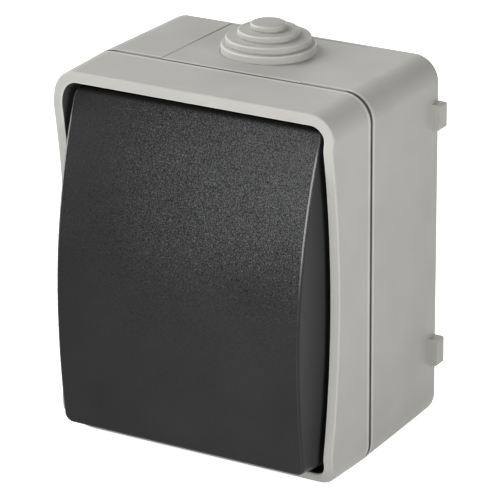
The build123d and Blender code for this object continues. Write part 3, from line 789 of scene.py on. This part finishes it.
# %% [markdown]
# Three pieces are modelled anew, because they are soft or wound: the cable gland, the rubber boot
# over the plunger, and the plunger's spring. The first two are round, and they could be spun from a
# profile. Pulling them out of one disc step by step, as one would by hand, keeps every ring a clean
# loop of faces: inset makes a step's floor, extrude its wall, and a bevel its soft rim. Each piece
# is made upright at the origin, where a ring is easy to find by its radius and height, and then put
# in its place.

# %% Helpers for modelling by hand
merge_distance = 0.001 * mm


def select_faces(test):
    """Select the faces of the piece in edit mode whose middle and normal pass a test."""
    mesh = bmesh.from_edit_mesh(bpy.context.object.data)
    bpy.ops.mesh.select_all(action="DESELECT")
    chosen = [face for face in mesh.faces if test(face.calc_center_median(), face.normal)]
    for face in chosen:
        face.select_set(True)
    bmesh.update_edit_mesh(bpy.context.object.data)


def select_edges(test):
    """Select the edges of the piece in edit mode whose two ends both pass a test."""
    mesh = bmesh.from_edit_mesh(bpy.context.object.data)
    bpy.ops.mesh.select_all(action="DESELECT")
    chosen = [edge for edge in mesh.edges if all(test(end.co) for end in edge.verts)]
    for edge in chosen:
        edge.select_set(True)
    bmesh.update_edit_mesh(bpy.context.object.data)


def finish_piece(name, material, node_name, place, turn=(0, 0, 0)):
    """Put the upright form in its place, smooth it, give it its finish, hide the frame's node and hang
    the piece on the housing.
    """
    bpy.ops.mesh.select_all(action="SELECT")
    bpy.ops.mesh.remove_doubles(threshold=merge_distance)
    bpy.ops.mesh.normals_make_consistent(inside=False)
    bpy.ops.object.mode_set(mode="OBJECT")
    piece = bpy.context.object
    piece.name = name
    piece.location = place
    piece.rotation_euler = turn
    bpy.ops.object.transform_apply(location=True, rotation=True, scale=True)
    bpy.ops.object.shade_smooth_by_angle(angle=sharp_angle)
    piece.data.materials.append(material)
    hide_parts(node_name)
    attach(piece, "housing")
    print(name, len(piece.data.polygons), "faces")
    return piece


print("doubles closer than", merge_distance / mm, "mm are merged")

# %% [markdown]
# A round piece grows from one cap. The cap is found by its level and by the way it faces, a ring by
# its radius and its level, so a step can be named by the sizes that one would measure on the piece.
# All sizes here are in millimetres. An inset of a many-sided cap moves its flats, not its corners,
# which is why the inset is a little smaller than the change of radius.

# %% Helpers for round pieces
round_flats = 96
same_place = 0.02
towards_visitor = (math.pi / 2, 0, 0)


def start_disc(radius, height):
    """A disc that stands on the origin."""
    bpy.ops.object.select_all(action="DESELECT")
    bpy.ops.mesh.primitive_cylinder_add(
        vertices=round_flats, radius=radius * mm, depth=height * mm, location=(0, 0, height / 2 * mm))
    bpy.ops.object.transform_apply(location=True, rotation=True, scale=True)
    bpy.ops.object.mode_set(mode="EDIT")


def is_at(point, radius, level):
    """Whether a point lies on the ring of a radius and a level, in millimetres."""
    across = abs(point.xy.length / mm - radius)
    along = abs(point.z / mm - level)
    return max(across, along) < same_place


def select_cap(level, facing):
    """Select the flat face that closes the form at a level and faces up (1) or down (-1)."""
    select_faces(lambda middle, normal: is_at(middle, 0, level) and normal.z * facing > 0.9)


def step_in(radius_from, radius_to):
    """Inset the selected cap from one radius to another."""
    bpy.ops.mesh.inset(thickness=(radius_from - radius_to) * mm * math.cos(math.pi / round_flats))


def pull(height):
    """Extrude the selected cap up, or down where the height is negative, or not at all for a new ring."""
    bpy.ops.mesh.extrude_region_move(TRANSFORM_OT_translate={"value": (0, 0, height * mm)})


def widen(radius_from, radius_to):
    """Scale the selected cap about the axis."""
    factor = radius_to / radius_from
    bpy.ops.transform.resize(value=(factor, factor, 1), center_override=(0, 0, 0))


def round_ring(radius, level, width, segments):
    """Round the edge ring of a radius and a level."""
    select_edges(lambda end: is_at(end, radius, level))
    bpy.ops.mesh.bevel(offset=width * mm, segments=segments, affect="EDGES")


print("round pieces have", round_flats, "flats")

# %% [markdown]
# The cable gland is a soft moulded membrane: four steps like a small ziggurat over a neck that snaps
# into the box's hole. It is hollow from below, so that a cable can be pushed through its top. Every
# step stands on a small undercut, which draws the dark line under it in the photograph.

# %% Model the cable gland
gland_tiers = ((9.9, 1.85), (8.95, 3.45), (6.4, 4.9), (3.75, 6.25))
gland_undercut = 0.3
gland_wall = 1.1
gland_neck = 6.95
gland_bead = 8.1
gland_neck_length = 2.5
gland_bead_length = 2.2
rim_rounding = 0.5
root_rounding = 0.08


def raise_steps():
    """Pull the upper steps out of the disc, each with a small undercut at its root."""
    for (below, level), (radius, top) in zip(gland_tiers, gland_tiers[1:]):
        select_cap(level, 1)
        root = radius - gland_undercut
        step_in(below, root)
        pull(gland_undercut)
        widen(root, radius)
        pull(top - level - gland_undercut)


def lower_neck():
    """Pull the neck and its snap bead down from the disc."""
    select_cap(0, -1)
    step_in(gland_tiers[0][0], gland_neck)
    pull(-gland_neck_length)
    pull(0)
    widen(gland_neck, gland_bead)
    pull(-gland_bead_length)
    widen(gland_bead, gland_neck)


def hollow_gland():
    """Push the hollow up through the neck, one wall thickness inside the steps."""
    inner = gland_neck - gland_wall
    level = gland_tiers[0][1] - gland_wall
    step_in(gland_neck, inner)
    pull(gland_neck_length + gland_bead_length + level)
    for radius, top in gland_tiers[2:]:
        step_in(inner, radius - gland_wall)
        inner = radius - gland_wall
        pull(top - gland_wall - level)
        level = top - gland_wall


def soften_gland():
    """Round the rim of every step, wide outside, and a little where the steps meet."""
    for radius, top in gland_tiers:
        round_ring(radius, top, rim_rounding, 5)
    for (_, top), (upper, _) in zip(gland_tiers, gland_tiers[1:]):
        round_ring(upper - gland_undercut, top, root_rounding, 2)


start_disc(*gland_tiers[0])
raise_steps()
lower_neck()
hollow_gland()
soften_gland()
gland_place = (gland_low + gland_high) / 2
gland_place.z = gland_high.z - gland_tiers[-1][1] * mm
finish_piece("cable_gland", gland_rubber, "cable_grommet", gland_place)

# %% [markdown]
# The rubber boot keeps rain off the plunger: a thin hat on a foot that clips round a hole in the front.
# The hat is soft, so the real one flattens when the rocker presses it; this one keeps its shape.

# %% Model the boot over the plunger
boot_low, boot_high = (Vector(corner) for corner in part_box("plunger_boot"))
boot_length = (boot_high.y - boot_low.y) / mm
boot_lip = 0.8
boot_rear = 8.5
boot_opening = 7.5
boot_flange = 9.4
boot_dome = 4.8
boot_wall = 0.8
deck_thickness = 2.0
dome_rounding = 0.7
foot_rounding = 0.15
boot_front = 2 * boot_lip + deck_thickness


def raise_foot():
    """Pull the groove for the deck and the front lip out of the rear lip."""
    select_cap(boot_lip, 1)
    step_in(boot_rear, boot_opening)
    pull(deck_thickness)
    pull(0)
    widen(boot_opening, boot_flange)
    pull(boot_lip)


def raise_hat():
    """Pull the thin hat out of the front lip."""
    step_in(boot_flange, boot_dome)
    pull(boot_length - boot_front)


def hollow_boot():
    """Push the room for the plunger in from behind, up to one wall thickness under the top."""
    select_cap(0, -1)
    step_in(boot_rear, boot_dome - boot_wall)
    pull(boot_length - boot_wall)


start_disc(boot_rear, boot_lip)
raise_foot()
raise_hat()
hollow_boot()
round_ring(boot_dome, boot_length, dome_rounding, 5)
round_ring(boot_flange, boot_front, foot_rounding, 2)
boot_place = (boot_low + boot_high) / 2
boot_place.y = boot_high.y
rubber_boot = finish_piece(
    "rubber_boot", seal_rubber, "plunger_boot", boot_place, towards_visitor)
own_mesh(rubber_boot)

# %% [markdown]
# The spring is wound from round wire: one ring of wire, carried round and up by a Screw modifier, which
# is then applied. Its two open ends are filled.

# %% Wind the spring
spring_low, spring_high = (Vector(corner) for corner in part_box("plunger_spring"))
spring_wire = 0.48 * mm
spring_turns = 3.5
spring_radius = (spring_high.x - spring_low.x - spring_wire) / 2
spring_rise = spring_high.y - spring_low.y - spring_wire
wire_flats = 14
steps_in_turn = 40

bpy.ops.object.select_all(action="DESELECT")
bpy.ops.mesh.primitive_circle_add(
    vertices=wire_flats, radius=spring_wire / 2,
    location=(spring_radius, 0, 0), rotation=(math.pi / 2, 0, 0))
bpy.ops.object.transform_apply(location=True, rotation=True, scale=True)
winding = bpy.context.object.modifiers.new("winding", "SCREW")
winding.axis = "Z"
winding.angle = spring_turns * 2 * math.pi
winding.screw_offset = spring_rise
winding.steps = round(spring_turns * steps_in_turn)
winding.render_steps = winding.steps
bpy.ops.object.modifier_apply(modifier="winding")
bpy.ops.object.mode_set(mode="EDIT")
bpy.ops.mesh.select_all(action="SELECT")
bpy.ops.mesh.remove_doubles(threshold=merge_distance)
bpy.ops.mesh.select_all(action="DESELECT")
bpy.ops.mesh.select_non_manifold()
bpy.ops.mesh.fill_holes(sides=0)
spring_place = (spring_low + spring_high) / 2
spring_place.y = spring_high.y - spring_wire / 2
coil_spring = finish_piece(
    "coil_spring", spring_steel, "plunger_spring", spring_place, towards_visitor)
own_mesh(coil_spring)
